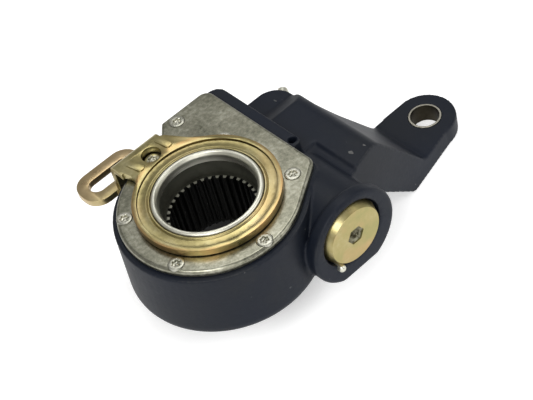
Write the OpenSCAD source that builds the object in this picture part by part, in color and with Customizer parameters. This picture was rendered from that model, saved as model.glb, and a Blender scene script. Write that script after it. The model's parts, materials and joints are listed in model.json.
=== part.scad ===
// Automatic slack adjuster for a cam brake, with a cranked arm.
// +Z runs along the spline bore, out of the cover plate; +X points along the arm to the clevis eye.
// The origin is on the bore axis, level with the outer face of the cover plate.

/* [Housing] */
// Depth of the body below its cover face
body_h = 36.5; // [35:0.5:42]
// Radius of the lower rim of the body
body_edge_r = 5.5; // [3:0.5:6]
// Draft of the round wall of the body over its depth
body_draft = 1.5; // [0.8:0.1:1.6]
// Margin of the cast body around the cover plate's straight edges
body_margin = 1; // [0.5:0.25:1.5]
// Margin of the cast body around the cover plate's round end
round_margin = 2.4; // [2:0.1:2.6]
// Setback of the cast body from the plate's slanted edge
back_set = 0.5; // [0.3:0.1:1]
// Width of the shoulder beyond the long edge of the cover plate
shoulder_w = 7; // [5:0.5:10]
// Radius of the drilled vent in the shoulder
vent_r = 2; // [1.5:0.1:2.2]
// Depth of the drilled vent
vent_depth = 9; // [4:0.5:12]

/* [Arm] */
// Distance from the spline axis to the clevis eye
arm_len = 126; // [122:1:150]
// Drop from the cover face to the top of the clevis eye
eye_drop = 50.5; // [46:0.5:56]
// Thickness of the clevis eye
eye_t = 10; // [9:0.5:14]
// Radius of the clevis eye
eye_r = 15.3; // [14:0.1:18]
// Height of the ridge above the worm axis
ridge_rise = 8.6; // [7:0.2:10]
// Radius of the ridge across the root of the arm
ridge_r = 9.6; // [8:0.2:11]
// Distance from the worm axis to the ridge
ridge_off = 34; // [31:0.5:37]
// Half width of the root of the arm towards the end cap, at its foot
root_near = 30; // [28:0.5:32]
// Lean of the arm's side towards the end cap
near_lean = 4.2; // [2:0.1:6]
// Half width of the root of the arm away from the end cap
root_far = 46; // [40:0.5:48]
// Angle at which the neck drops to the eye
neck_angle = 53; // [49:1:56]
// Half width of the neck away from the end cap
neck_far = 11.6; // [10:0.2:14]
// Angle at which the far end of the ridge falls
ridge_fall = 32; // [25:1:45]
// Radius of the clevis pin hole in the bush
bush_bore_r = 7; // [6:0.5:9]
// Wall of the clevis bush
bush_wall = 1.1; // [0.8:0.1:2]
// Length of bush left standing above the eye
bush_proud = 0.3; // [0:0.1:0.8]

/* [Cover] */
// Margin of the plate's round end around the circle of cover screws
plate_rim = 3.8; // [3.7:0.1:6]
// Thickness of the cover plate
plate_t = 3; // [2:0.25:4]
// Reach of the plate's long edge beyond its round end
plate_reach_x = 2.3; // [2:0.1:5]
// Reach of the plate's side edge beyond its round end
plate_reach_y = 11; // [10:0.5:15]
// Thickness of the cover gasket
gasket_t = 0.5; // [0.3:0.1:1]
// Distance from the control arm's ring to the circle of cover screws
screw_gap = 4.2; // [4:0.1:4.6]
// Radius of a cover screw's shank
screw_r = 2.2; // [1.5:0.1:2.3]
// Radius of a cover screw's head
screw_head_r = 3.6; // [3:0.1:3.7]
// Height of a cover screw's head
screw_head_h = 1.6; // [1.2:0.1:1.8]
// Height of a cover screw's head above the plate
screw_proud = 0.2; // [0:0.05:0.25]
// Depth of a cover screw's tip below the face of the plate
screw_len = 9; // [7:0.25:9]

/* [Worm gear] */
// Teeth on the worm wheel
wheel_teeth = 24; // [22:1:26]
// Wall of the worm wheel's hub around the spline
hub_wall = 3.9; // [3.7:0.1:4.3]
// Pitch radius of the worm
worm_pitch_r = 8.2; // [8:0.1:8.6]
// Height of a tooth outside its pitch line
addendum = 1.8; // [1.4:0.1:1.9]
// Depth of a tooth inside its pitch line
dedendum = 2.1; // [2.0:0.1:2.2]
// Play between the worm thread and the wheel teeth at the pitch line
backlash = 0.5; // [0.3:0.05:0.8]
// Width of the toothed rim of the worm wheel
wheel_face_w = 16; // [12:0.5:18]
// Depth of the worm axis below the cover face
worm_depth = 17.5; // [17:0.25:19]
// Turns of thread on the worm
worm_turns = 4; // [3:0.5:4.5]
// Radius of the worm shaft
shaft_r = 6; // [5.5:0.1:6]
// Width across the flats of the adjusting hexagon
adjust_hex = 10; // [8:0.5:10]
// Length of the adjusting hexagon
adjust_len = 9; // [6:0.5:12]

/* [Spline bore] */
// Radius at the roots of the internal spline
spline_r = 20.8; // [20:0.1:21]
// Depth of the spline teeth
spline_depth = 1.5; // [1:0.1:2]
// Number of spline teeth
spline_teeth = 37; // [24:1:40]
// Depth of the plain mouth above the spline, below the cover face of the plate
mouth_depth = 9; // [7:0.5:11]
// Height of the wheel hub above the cover plate
hub_rise = 2.6; // [2.2:0.1:3]
// Overhang of the bright rim beyond the hub
rim_lip = 0.1; // [0.1:0.1:0.8]
// Height of the bright rim above the hub
rim_h = 1.5; // [1.5:0.1:3]

/* [Control arm] */
// Wall of the control hub where it turns in the cover plate
control_wall = 4.8; // [4.4:0.1:5.2]
// Width of the control hub's shoulder over the cover plate
control_shoulder = 1.2; // [1:0.1:1.5]
// Width of the control arm's ring around the hub's shoulder
ring_w = 2.3; // [2:0.1:2.8]
// Thickness of the control arm's sheet
control_t = 3.4; // [3:0.1:4]
// Running gap between the control arm and the cover plate
control_gap = 0.6; // [0.4:0.1:1]
// Width of the control arm's ear
ear_w = 26; // [22:0.5:26]
// Gap between the round body and the ear's flange
ear_gap = 0.8; // [0.8:0.1:3]
// Flare of the ear beyond its flange, towards the eye
ear_flare = 1.7; // [1:0.1:2]
// Radius of the round hole in the ear
ear_hole_r = 4.6; // [4:0.1:5.5]
// Depth of the slotted tab below the cover plate
tab_drop = 14; // [12:0.5:16]
// Length of the slotted tab
tab_len = 34; // [32:0.5:40]
// Width of the slotted tab
tab_w = 20; // [18:0.5:24]
// Length of the anchor slot
slot_len = 24; // [20:0.5:26]
// Width of the anchor slot
slot_w = 8.6; // [7:0.2:10]

/* [Adjusting mechanism] */
// Distance of the rack's pin outside the control hub
rack_out = 0.7; // [0.5:0.1:0.9]
// Radius of the rack's pin
rack_pin_r = 1.8; // [1.5:0.1:2]
// Width of the rack and of the pinion
rack_w = 6.4; // [5.6:0.2:6.6]
// Length of the rack ahead of its pin
rack_len = 41; // [39:0.25:41.25]
// Teeth on the pinion
pinion_teeth = 18; // [17:1:18]
// Pitch radius of the pinion
pinion_r = 9; // [8.8:0.1:9.2]
// Play between rack and pinion at the pitch line
rack_play = 0.3; // [0.2:0.05:0.4]
// Radius of the worm chamber
chamber_r = 11.2; // [11:0.1:11.4]
// Radius of the cone wheel that drives the worm
clutch_r = 9.9; // [9.4:0.1:10]
// Wire of the one-way clutch spring
clutch_wire = 1.4; // [1:0.1:1.6]
// Wire of the rack spring
rack_wire = 0.9; // [0.6:0.1:1.1]

/* [End cap] */
// Distance from the arm's middle plane to the face of the cap boss
boss_y = 48.5; // [47:0.5:52]
// Radius of the cap boss
boss_r = 20.5; // [19.5:0.25:21]
// Radius of the collar around the mouth of the boss
collar_r = 23.3; // [22.5:0.1:24]
// Depth of the boss's axis below the worm axis
collar_drop = 3.6; // [3:0.1:4]
// Offset of the boss's axis from the worm axis, towards the eye
collar_out = 1; // [0:0.1:1.5]
// Depth of the boss's flat foot below the worm axis
collar_flat = 24.25; // [23:0.25:24.5]
// Width of the collar
collar_w = 6; // [4:0.5:8]
// Radius of the cap's head
cap_r = 15.6; // [15:0.1:16.5]
// Height of the cap's head
cap_head_h = 5.5; // [4.5:0.25:7]
// Depth of the recess around the cap's head
recess_depth = 3.5; // [2.5:0.25:4.5]
// Radius of the recess around the cap's head
recess_r = 17.8; // [17.2:0.1:18.5]
// Radius of the bore for the cap's plug
plug_r = 14; // [13.8:0.1:14.4]
// Length of the cap's plug
plug_len = 12; // [10:0.5:13]
// Width across the flats of the cap's hexagon socket
cap_hex = 8; // [6:0.5:10]
// Depth of the cap's hexagon socket
cap_hex_depth = 5; // [4:0.5:6]
// Radius of the lock pin
lock_pin_r = 1.8; // [1.2:0.1:2]
// Length of the lock pin
lock_pin_len = 12; // [8:0.5:14]
// Wire of the strong spring under the cap
spring_wire = 2.8; // [2:0.1:3]

/* [Fits] */
// Radial clearance of a running fit
run = 0.05; // [0.03:0.01:0.08]
// Clearance between pieces that pass each other
clear = 0.4; // [0.3:0.05:0.5]

/* [Hidden] */
$fn = 96;
eps = 0.01;
cast_colour = [0.14, 0.16, 0.20];
zinc_colour = [0.62, 0.63, 0.58];
gold_colour = [0.72, 0.62, 0.36];
steel_colour = [0.75, 0.75, 0.73];
dark_steel_colour = [0.25, 0.25, 0.24];
rubber_colour = [0.07, 0.07, 0.07];

// Radii from the spline outwards
hub_r = spline_r + hub_wall;
wheel_root_r = hub_r;
wheel_pitch_r = wheel_root_r + dedendum;
wheel_tip_r = wheel_pitch_r + addendum;
rim_r = hub_r + rim_lip;
control_hub_r = hub_r + control_wall;
ring_in_r = control_hub_r + control_shoulder;
control_r = ring_in_r + ring_w;
screw_circle_r = control_r + screw_gap;
plate_r = screw_circle_r + plate_rim;
plate_x = plate_r + plate_reach_x;
plate_y = plate_r + plate_reach_y;
body_r = plate_r + round_margin;
ear_y = body_r + ear_gap + control_t;
rack_r = control_hub_r + rack_out;
worm_x = wheel_pitch_r + worm_pitch_r;
ridge_x = worm_x + ridge_off;
past = arm_len + body_r;

// Levels along the spline axis
face_z = -plate_t - gasket_t;
floor_z = face_z - body_h;
worm_z = face_z - worm_depth;
eye_z = face_z - eye_drop;
ridge_z = worm_z + ridge_rise - ridge_r;
ridge_top = ridge_z + ridge_r;

// Outline of the cover plate and of the cast body below it
plate_corner = 5;
plate_back_x = 15.7;
plate_near_y = -20.5;
back_run = 10.5;
back_fall = 12.5;
screw_angles = [-31.8, -91.5, -152.2, 147.5, 92];
inner_screw = (screw_circle_r - 2.62) * [cos(37.6), sin(37.6)];
far_screw = [plate_back_x + 5.1, plate_y - 5.4];
screw_places = concat([for (a = screw_angles) screw_circle_r * [cos(a), sin(a)]], [inner_screw, far_screw]);
screw_seat_z = screw_proud - screw_head_h;
shoulder_x = plate_x + shoulder_w;
shoulder_end = -5;
vent_place = [plate_x + shoulder_w * 0.58, -1.5];

// Worm wheel
hub_top = hub_rise;
cavity_r = wheel_tip_r + clear * 2;
wheel_half = wheel_face_w / 2;
journal_h = 8;
lower_seal_h = 2.6;
lower_seal_w = 1.8;
mouth_r = spline_r + 1;
rim_seat_r = mouth_r + 1.1;
rim_seat_depth = 3.5;
pressure = 20;
seal_groove_z = face_z - 1;

// Worm
axial_pitch = 2 * PI * wheel_pitch_r / wheel_teeth;
lead_angle = atan(axial_pitch / (2 * PI * worm_pitch_r));
worm_tip_r = worm_pitch_r + addendum;
worm_root_r = worm_pitch_r - dedendum;
worm_half = worm_turns * axial_pitch / 2;

// Rack and pinion
module_mm = 2 * pinion_r / pinion_teeth;
pitch_line_z = worm_z + pinion_r;
rack_tip_z = pitch_line_z - module_mm;
rack_root_z = pitch_line_z + 1.25 * module_mm;
control_seat = 4;
disc_t = 3;
disc_r = control_hub_r + 0.9;
lobe_half = 7;
disc_z = face_z - control_seat + 0.7;
rack_top_z = disc_z - clear;
rack_play_side = 0.3;
rack_tail = 4;
rack_slot_x0 = -rack_tail - 14;
rack_slot_x1 = rack_len + 0.6;
chamber_fill_r = chamber_r - 0.4;

// Stations along the worm axis
clutch_y0 = worm_half + 0.4;
cone_len = 2.6;
clutch_t = 3.6;
pinion_y1 = rack_r + rack_w / 2;
pinion_y0 = rack_r - rack_w / 2;
clutch_hub_r = 8.2;
clutch_split = (clutch_y0 + clutch_t + pinion_y0) / 2;
washer_t = 1.2;
chamber_y1 = pinion_y1 + washer_t + 0.5;
bearing_t = 3;
bearing_r = clutch_r;
bearing_y = -worm_half - 0.5;
seat_t = 2.4;
seat_y = bearing_y - bearing_t;
shaft_y0 = seat_y - seat_t - 4;
plug_y1 = -boss_y + recess_depth + plug_len;
pocket_r = plug_r - 2.4;
pocket_floor_y = -boss_y + recess_depth + plug_len * 0.5;
spring_y1 = seat_y - seat_t;
seal_w = 4;
body_far_y = plate_y + body_margin;

// Control arm
hub_wall_top = hub_top - 0.3;
spigot_r = hub_r + run + 1.6;
control_top = control_gap + control_t;
ear_x0 = -4.7 - ear_w / 2;
ear_x1 = ear_x0 + ear_w;
tab_y = ear_y + tab_w / 2 + 1.4;
tab_x = -13.5;

function unit(v) = v / norm(v);

// Points of one rounded corner b between its neighbours a and c
function corner(a, b, c, r, steps = 6) =
    let(u = unit(a - b), v = unit(c - b), half = acos(u * v) / 2)
    let(centre = b + unit(u + v) * r / sin(half), from = b + u * r / tan(half) - centre)
    let(turn = sign(u[0] * v[1] - u[1] * v[0]) * (180 - 2 * half))
    r <= 0 ? [b] : [for (i = [0:steps])
        let(t = -turn * i / steps)
        centre + [from[0] * cos(t) - from[1] * sin(t), from[0] * sin(t) + from[1] * cos(t)]];

// Outline through points [x, y, r] whose corners are rounded to r
function rounded(p) = [for (i = [0:len(p) - 1])
    let(n = len(p), a = p[(i + n - 1) % n], b = p[i], c = p[(i + 1) % n])
    each corner([a[0], a[1]], [b[0], b[1]], [c[0], c[1]], b[2])];

// Where the tangent from point p meets a circle of radius r about the origin
function tangent(p, r, side) =
    let(a = atan2(p[1], p[0]) + side * acos(r / norm(p))) r * [cos(a), sin(a)];

// Outline with a round end about the origin and a block on the arm's side
module cover_outline(r, x, y, near_y, back_x, corner_r) {
    near = tangent([x, near_y], r - eps, -1);
    circle(r);
    polygon(rounded([[0, 0, 0], [near[0], near[1], 0], [x, near_y, corner_r], [x, y, corner_r],
        [back_x, y, 1.5], [back_x - back_run, y - back_fall, 0]]));
}

// Outline of the plate, grown evenly by g
module plate_outline(g = 0) {
    cover_outline(plate_r + g, plate_x + g, plate_y + g, plate_near_y - g, plate_back_x - g * 0.45,
        plate_corner + g);
}

// Room for the control disc and for the lobe that holds the rack's pin
module control_recess(h) {
    cylinder(r = disc_r + 2 * clear, h = h);
    intersection() {
        cylinder(r = control_r + 1, h = h);
        translate([-lobe_half - 9, 0, 0]) cube([2 * lobe_half + 11, 60, h]);
    }
}

// Place children on the worm axis, with +Y along that axis
module on_worm_axis() {
    translate([worm_x, 0, worm_z]) children();
}

// Solid of revolution about the worm axis, drawn as [radius, y]
module turned(points) {
    on_worm_axis() rotate([-90, 0, 0]) rotate_extrude() polygon(points);
}

// Bar along the worm axis from y0 to y1
module axle(r, y0, y1) {
    on_worm_axis() translate([0, y0, 0]) rotate([-90, 0, 0]) cylinder(r = r, h = y1 - y0);
}

// One closed mesh that carries a profile of [radius, height] corners along a helix about Z
module helix(profile, pitch, turns, steps = 24) {
    n = len(profile);
    last = ceil(turns * steps);
    function at(i, c) = let(a = 360 * turns * i / last)
        [c[0] * cos(a), c[0] * sin(a), c[1] + pitch * turns * i / last];
    points = [for (i = [0:last], c = profile) at(i, c)];
    sides = [for (i = [0:last - 1], j = [0:n - 1])
        [i * n + j, i * n + (j + 1) % n, (i + 1) * n + (j + 1) % n, (i + 1) * n + j]];
    polyhedron(points, concat([[for (j = [n - 1:-1:0]) j]], sides, [[for (j = [0:n - 1]) last * n + j]]));
}

// Round wire profile for a helix of mean radius r
function wire(r, wire_r, sides = 8) = [for (i = [0:sides - 1])
    [r + wire_r * cos(360 * i / sides), wire_r * sin(360 * i / sides)]];

// Body of the housing, without its bores
module housing_block() {
    translate([0, 0, floor_z]) rotate_extrude() polygon(rounded([[0, 0, 0],
        [body_r + body_draft, 0, body_edge_r], [body_r, body_h, 0], [0, body_h, 0]]));
    translate([0, 0, floor_z]) linear_extrude(body_h)
        polygon(rounded([[0, shoulder_end, 0], [shoulder_x, shoulder_end, 3],
            [shoulder_x, body_far_y, plate_corner + body_margin], [plate_back_x + 4, body_far_y, 0],
            [plate_back_x - back_run, body_far_y - back_fall - 4, 0], [0, 10, 0]]));
    translate([0, 0, floor_z + body_edge_r]) linear_extrude(body_h - body_edge_r)
        cover_outline(plate_r, plate_x + body_margin, plate_y + body_margin,
            plate_near_y - body_margin, plate_back_x + back_set, plate_corner + body_margin);
}

// Boss around the worm's big end, with its collar
module cap_boss() {
    fillet = 1.2;
    root_y = -8;
    tip_y = root_y - 6.5;
    on_worm_axis() difference() {
        translate([collar_out, 0, -collar_drop]) rotate([-90, 0, 0]) rotate_extrude()
            polygon(rounded([[0, -boss_y, 0], [collar_r, -boss_y, fillet],
                [collar_r, collar_w - boss_y, fillet], [boss_r, collar_w - boss_y + 1.5, 0],
                [boss_r, root_y, 0], [0, tip_y, 0]]));
        translate([-past, -past, -collar_flat - past]) cube([2 * past, 2 * past, past]);
    }
}

// Side view of the ridge, neck and eye, as [x, z]
module arm_side() {
    bottom_z = eye_z - eye_t;
    slope = tan(neck_angle);
    top_x = ridge_x + ridge_r * sin(neck_angle);
    top_z = ridge_z + ridge_r * cos(neck_angle);
    foot_x = top_x + (top_z - eye_z) / slope;
    heel_x = foot_x - 12;
    step_x = ridge_x - 11.5;
    heel_slope = tan(45);
    translate([ridge_x, ridge_z]) circle(ridge_r);
    polygon(rounded([[worm_x, ridge_top - 1.2, 0], [step_x, ridge_top - 1.2, 0], [step_x + 0.5, ridge_top, 0],
        [ridge_x, ridge_top, 0], [ridge_x, ridge_z, 0], [top_x, top_z, 0], [foot_x, eye_z, 5],
        [arm_len + eye_r + 5, eye_z, 0], [arm_len + eye_r + 5, bottom_z, 0], [heel_x, bottom_z, 6],
        [heel_x - (floor_z - bottom_z) / heel_slope, floor_z, 6], [worm_x, floor_z, 0]]));
}

// Top view of the ridge and neck, which ends inside the eye and is wide on its leaning side
module arm_top() {
    spare = 1;
    end_x = arm_len + 2;
    polygon(rounded([[worm_x, -root_near - spare, 0], [ridge_x, -root_near - spare, 0],
        [end_x, -eye_r - spare, 0], [end_x, 0, 0], [arm_len, eye_r - eps, 0],
        [arm_len - eye_r - 4, eye_r - 0.4, 10], [arm_len - eye_r - 11, neck_far + 0.2, 8],
        [ridge_x + 14, neck_far - 0.2, 5], [ridge_x + ridge_r - 2, root_far - 30, 4],
        [ridge_x + ridge_r - 2, root_far - 12, 8], [ridge_x - 12, root_far - 6, 0],
        [worm_x, root_far - 6, 0]]));
}

// Outside of the arm's leaning side and of the falling end of its ridge
module arm_trim() {
    touch = tangent([ridge_x - arm_len, -root_near], eye_r - 0.3, 1);
    turn = atan2(touch[1] + root_near, touch[0] + arm_len - ridge_x);
    translate([ridge_x, -root_near, eye_z - eye_t]) rotate([0, 0, turn]) rotate([-near_lean, 0, 0])
        translate([-past, -past, -past]) cube([2 * past, past, 2 * past]);
    translate([0, root_far / 2, ridge_top]) rotate([-ridge_fall, 0, 0])
        translate([-past, -root_far / 4, 0]) cube([2 * past, past, past]);
}

// Ridge, neck and eye
module arm() {
    difference() {
        union() {
            intersection() {
                translate([0, past, 0]) rotate([90, 0, 0]) linear_extrude(2 * past) arm_side();
                translate([0, 0, -past]) linear_extrude(2 * past) arm_top();
            }
            arm_web();
        }
        arm_trim();
    }
    translate([arm_len, 0, eye_z - eye_t]) cylinder(r = eye_r, h = eye_t);
}

// Web that fills the root of the arm up to the ridge
module arm_web() {
    web_z = floor_z + 6;
    translate([worm_x, shoulder_end + 2, web_z])
        cube([ridge_x - 10 - worm_x, root_far - 8 - shoulder_end, ridge_top - web_z]);
}

// Lower shelf of the arm's root on the far side
module arm_shelf() {
    shelf_z = ridge_top - 6.5;
    under_z = floor_z + 2;
    translate([0, 0, under_z]) linear_extrude(shelf_z - under_z)
        polygon(rounded([[worm_x, 0, 0], [ridge_x + ridge_r - 2, 0, 0],
            [ridge_x + ridge_r - 2, root_far, 11], [worm_x, root_far, 0]]));
}

// Place children at the grease nipple, with +Z out of the casting
module at_nipple() {
    translate([ridge_x + ridge_r - 5.7, root_far - 6.8, ridge_top - 18]) rotate([0, 66, 44]) children();
}

nipple_thread_r = 3;
nipple_seat = 3;
nipple_boss_r = 5.5;
spot_face_r = 5;

module housing() {
    color(cast_colour) difference() {
        union() {
            housing_block();
            cap_boss();
            arm();
            arm_shelf();
            at_nipple() cylinder(r = nipple_boss_r, h = nipple_seat);
        }
        // Seat of the cover plate
        translate([0, 0, face_z]) linear_extrude(30) plate_outline(0.3);
        // Wheel cavity, its lower journal and the recess of the control disc
        translate([0, 0, floor_z + journal_h]) cylinder(r = cavity_r, h = past);
        translate([0, 0, floor_z - 1]) cylinder(r = hub_r + run, h = past);
        translate([0, 0, floor_z - 1]) cylinder(r = hub_r + lower_seal_w, h = lower_seal_h + 1);
        translate([0, 0, face_z - control_seat]) control_recess(past);
        // Worm chamber, cap bore and recess, shaft hole and seal seat
        axle(chamber_r, plug_y1 - 1, chamber_y1);
        axle(plug_r + run, -boss_y + recess_depth - eps, plug_y1 + 1);
        axle(recess_r, -boss_y - 1, -boss_y + recess_depth);
        axle(shaft_r + run, 0, body_far_y + 1);
        axle(shaft_r + 3.4, body_far_y - seal_w, body_far_y + 1);
        // Slot for the rack, milled from the cover face
        translate([rack_slot_x0, rack_r - rack_w / 2 - rack_play_side, rack_tip_z - 0.6])
            cube([rack_slot_x1 - rack_slot_x0, rack_w + 2 * rack_play_side, past]);
        // Holes for screws, vent, lock pin, bush and nipple
        for (p = screw_places) translate([p[0], p[1], -screw_len - 0.6])
            cylinder(r = screw_r + run, h = 20);
        translate([vent_place[0], vent_place[1], face_z - vent_depth]) cylinder(r = vent_r, h = 20);
        at_lock_pin() rotate([-90, 0, 0]) cylinder(r = lock_pin_r, h = lock_pin_len);
        translate([arm_len, 0, eye_z - past]) cylinder(r = bush_bore_r + bush_wall, h = 2 * past);
        at_nipple() translate([0, 0, -6]) cylinder(r = nipple_thread_r, h = 20);
        at_nipple() translate([0, 0, nipple_seat]) cylinder(r = spot_face_r, h = 20);
    }
}

// Mouth of the lock pin's hole, on the edge of the cap's head
module at_lock_pin() {
    on_worm_axis() rotate([0, 127, 0]) translate([cap_r + lock_pin_r - 0.6, -boss_y - 0.8, 0]) children();
}

module clevis_bush() {
    color(steel_colour) translate([arm_len, 0, eye_z - eye_t]) difference() {
        cylinder(r = bush_bore_r + bush_wall, h = eye_t + bush_proud);
        translate([0, 0, -1]) cylinder(r = bush_bore_r, h = eye_t + 3);
    }
}

nipple_ball_r = 1.1;
nipple_top = 11;

module grease_nipple() {
    color(steel_colour) at_nipple() difference() {
        union() {
            translate([0, 0, nipple_seat]) cylinder(r = 4.2, h = 3, $fn = 6);
            translate([0, 0, nipple_seat - 5]) cylinder(r = nipple_thread_r, h = 6);
            rotate_extrude() polygon([[0, nipple_seat], [2.4, nipple_seat + 3], [2.1, nipple_top - 4],
                [3.2, nipple_top - 2.6], [2.2, nipple_top], [0, nipple_top]]);
        }
        translate([0, 0, nipple_seat - 10]) cylinder(r = 0.8, h = 30);
        translate([0, 0, nipple_top - 3.6]) cylinder(r = nipple_ball_r + run, h = 10);
    }
}

module nipple_ball() {
    color(steel_colour) at_nipple() translate([0, 0, nipple_top - nipple_ball_r]) sphere(nipple_ball_r);
}

module cover_plate() {
    color(zinc_colour) difference() {
        translate([0, 0, -plate_t]) linear_extrude(plate_t) plate_outline();
        translate([0, 0, -past]) cylinder(r = control_hub_r + run, h = 2 * past);
        for (p = screw_places) translate([p[0], p[1], 0]) {
            translate([0, 0, -past]) cylinder(r = screw_r + run, h = 2 * past);
            translate([0, 0, screw_seat_z]) cylinder(r = screw_head_r + 0.3, h = past);
        }
    }
}

module cover_gasket() {
    color(rubber_colour) difference() {
        translate([0, 0, face_z]) linear_extrude(gasket_t) plate_outline(-0.3);
        translate([0, 0, face_z - 1]) control_recess(10);
        translate([rack_slot_x0, rack_r - rack_w / 2 - rack_play_side, face_z - 1])
            cube([rack_slot_x1 - rack_slot_x0, rack_w + 2 * rack_play_side, 10]);
        for (p = screw_places) translate([p[0], p[1], face_z - 1]) cylinder(r = screw_r + run, h = 10);
    }
}

// Low head screw with a six-lobed socket, drawn at its height in the plate
module cover_screw() {
    difference() {
        rotate_extrude() polygon([[0, -screw_len], [screw_r - 0.4, -screw_len], [screw_r, 0.4 - screw_len],
            [screw_r, screw_seat_z], [screw_head_r, screw_seat_z], [screw_head_r, screw_proud - 0.3],
            [screw_head_r - 0.3, screw_proud], [0, screw_proud]]);
        translate([0, 0, screw_proud - 1.1]) cylinder(r = 1.35, h = 5);
        for (a = [0:60:300]) rotate(a) translate([1.3, 0, screw_proud - 1.1]) cylinder(r = 0.42, h = 5);
    }
}

module cover_screws() {
    color(steel_colour) for (p = screw_places) translate([p[0], p[1], 0]) cover_screw();
}

module end_cap() {
    head_y = -boss_y + recess_depth - cap_head_h;
    groove_y = -boss_y + recess_depth + 2;
    chamfer = 1;
    color(gold_colour) difference() {
        turned([[0, head_y], [cap_r - chamfer, head_y], [cap_r, head_y + chamfer],
            [cap_r, head_y + cap_head_h], [plug_r, head_y + cap_head_h], [plug_r, groove_y],
            [plug_r - 1.7, groove_y], [plug_r - 1.7, groove_y + 2], [plug_r, groove_y + 2],
            [plug_r, plug_y1], [pocket_r, plug_y1], [pocket_r, pocket_floor_y], [0, pocket_floor_y]]);
        on_worm_axis() translate([0, head_y - 1, 0]) rotate([-90, 0, 0])
            cylinder(r = cap_hex / sqrt(3), h = cap_hex_depth + 1, $fn = 6);
        at_lock_pin() translate([0, -past, 0]) rotate([-90, 0, 0]) cylinder(r = lock_pin_r, h = 2 * past);
    }
}

module cap_o_ring() {
    groove_y = -boss_y + recess_depth + 2;
    color(rubber_colour) on_worm_axis() translate([0, groove_y + 1, 0]) rotate([-90, 0, 0])
        rotate_extrude() translate([plug_r - 0.85, 0]) circle(0.82);
}

module lock_pin() {
    color(steel_colour) at_lock_pin() {
        rotate([-90, 0, 0]) cylinder(r = lock_pin_r, h = lock_pin_len);
        sphere(lock_pin_r);
    }
}

module strong_spring() {
    radius = chamber_fill_r - spring_wire / 2 - 0.4;
    length = spring_y1 - pocket_floor_y - spring_wire;
    color(dark_steel_colour) on_worm_axis() translate([0, pocket_floor_y + spring_wire / 2, 0])
        rotate([-90, 0, 0]) helix(wire(radius, spring_wire / 2), length / 3.5, 3.5);
}

module spring_seat() {
    color(steel_colour) turned([[shaft_r + 0.3, spring_y1], [chamber_fill_r, spring_y1],
        [chamber_fill_r, spring_y1 + seat_t], [shaft_r + 0.3, spring_y1 + seat_t]]);
}

// Flat needle cage between two races
module thrust_bearing() {
    race = bearing_t * 0.3;
    color(steel_colour) {
        difference() {
            turned([[shaft_r + 0.3, seat_y], [bearing_r, seat_y], [bearing_r, bearing_y],
                [shaft_r + 0.3, bearing_y]]);
            for (a = [0:30:330]) on_worm_axis() rotate([0, a, 0])
                translate([bearing_r - 1.6, (seat_y + bearing_y) / 2, 0]) rotate([0, 90, 0])
                    cylinder(r = race, h = 5);
        }
    }
}

module worm_shaft() {
    hex_r = adjust_hex / sqrt(3);
    thread_half = axial_pitch / 4 - backlash / 2;
    flank = tan(pressure);
    tip = thread_half - addendum * flank;
    root = thread_half + (dedendum + 0.1) * flank;
    color(dark_steel_colour) {
        turned([[0, shaft_y0], [shaft_r, shaft_y0], [shaft_r, -worm_half], [worm_root_r, -worm_half],
            [worm_root_r, worm_half + 0.2], [worm_root_r + 2.6, worm_half + 0.2],
            [worm_root_r + 1.2, clutch_y0 + cone_len - 0.05], [shaft_r, clutch_y0 + cone_len - 0.05],
            [shaft_r, body_far_y], [hex_r * 0.8, body_far_y], [hex_r * 0.8, body_far_y + 0.6],
            [0, body_far_y + 0.6]]);
        axle_hex(hex_r, body_far_y, body_far_y + adjust_len);
        on_worm_axis() rotate([-90, 0, 0]) translate([0, 0, -worm_half + root])
            rotate([0, 0, 180 - 360 * (worm_half - root) / axial_pitch])
                helix([[worm_root_r - 0.1, -root], [worm_tip_r, -tip], [worm_tip_r, tip],
                    [worm_root_r - 0.1, root]], axial_pitch, 2 * (worm_half - root) / axial_pitch, 30);
    }
}

// Hexagon bar along the worm axis
module axle_hex(r, y0, y1) {
    on_worm_axis() translate([0, y0, 0]) rotate([-90, 0, 0]) cylinder(r = r, h = y1 - y0, $fn = 6);
}

module clutch_wheel() {
    color(steel_colour) turned([[worm_root_r + 2.6 + 0.15, clutch_y0], [clutch_r, clutch_y0],
        [clutch_r, clutch_y0 + clutch_t], [clutch_hub_r, clutch_y0 + clutch_t],
        [clutch_hub_r, clutch_split - 0.15], [shaft_r, clutch_split - 0.15], [shaft_r, clutch_y0 + cone_len],
        [worm_root_r + 1.35, clutch_y0 + cone_len]]);
}

module clutch_spring() {
    y0 = clutch_y0 + clutch_t + 0.3;
    pitch = clutch_wire + 0.15;
    turns = (pinion_y0 - 0.3 - clutch_wire - y0) / pitch;
    inner = clutch_hub_r + 0.2;
    half = clutch_wire / 2;
    color(dark_steel_colour) on_worm_axis() translate([0, y0 + half, 0]) rotate([-90, 0, 0])
        helix([[inner, -half], [inner + clutch_wire, -half], [inner + clutch_wire, half], [inner, half]],
            pitch, turns);
}

// Half the angle of a gear tooth at radius r, for a tooth that is thick across its pitch circle
function tooth_half(r, pitch_r, thick) =
    let(base = pitch_r * cos(pressure), rb = max(r, base), a = acos(base / rb))
    (thick / (2 * pitch_r)) * 180 / PI + (tan(pressure) * 180 / PI - pressure) - (tan(a) * 180 / PI - a);

// Outline of the gap between two teeth, open past the tip circle
function gap_points(pitch_r, teeth, thick, root_r, tip_r) =
    let(radii = [for (i = [0:4]) root_r + (tip_r - root_r) * i / 4], half = 180 / teeth)
    let(side = [for (r = radii) [r, half - tooth_half(r, pitch_r, thick)]], top = side[4][1])
    concat([for (s = side) s[0] * [cos(s[1]), -sin(s[1])]], [(tip_r + 2) * [cos(top), -sin(top)]],
        [(tip_r + 2) * [cos(top), sin(top)]],
        [for (i = [4:-1:0]) side[i][0] * [cos(side[i][1]), sin(side[i][1])]]);

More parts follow.
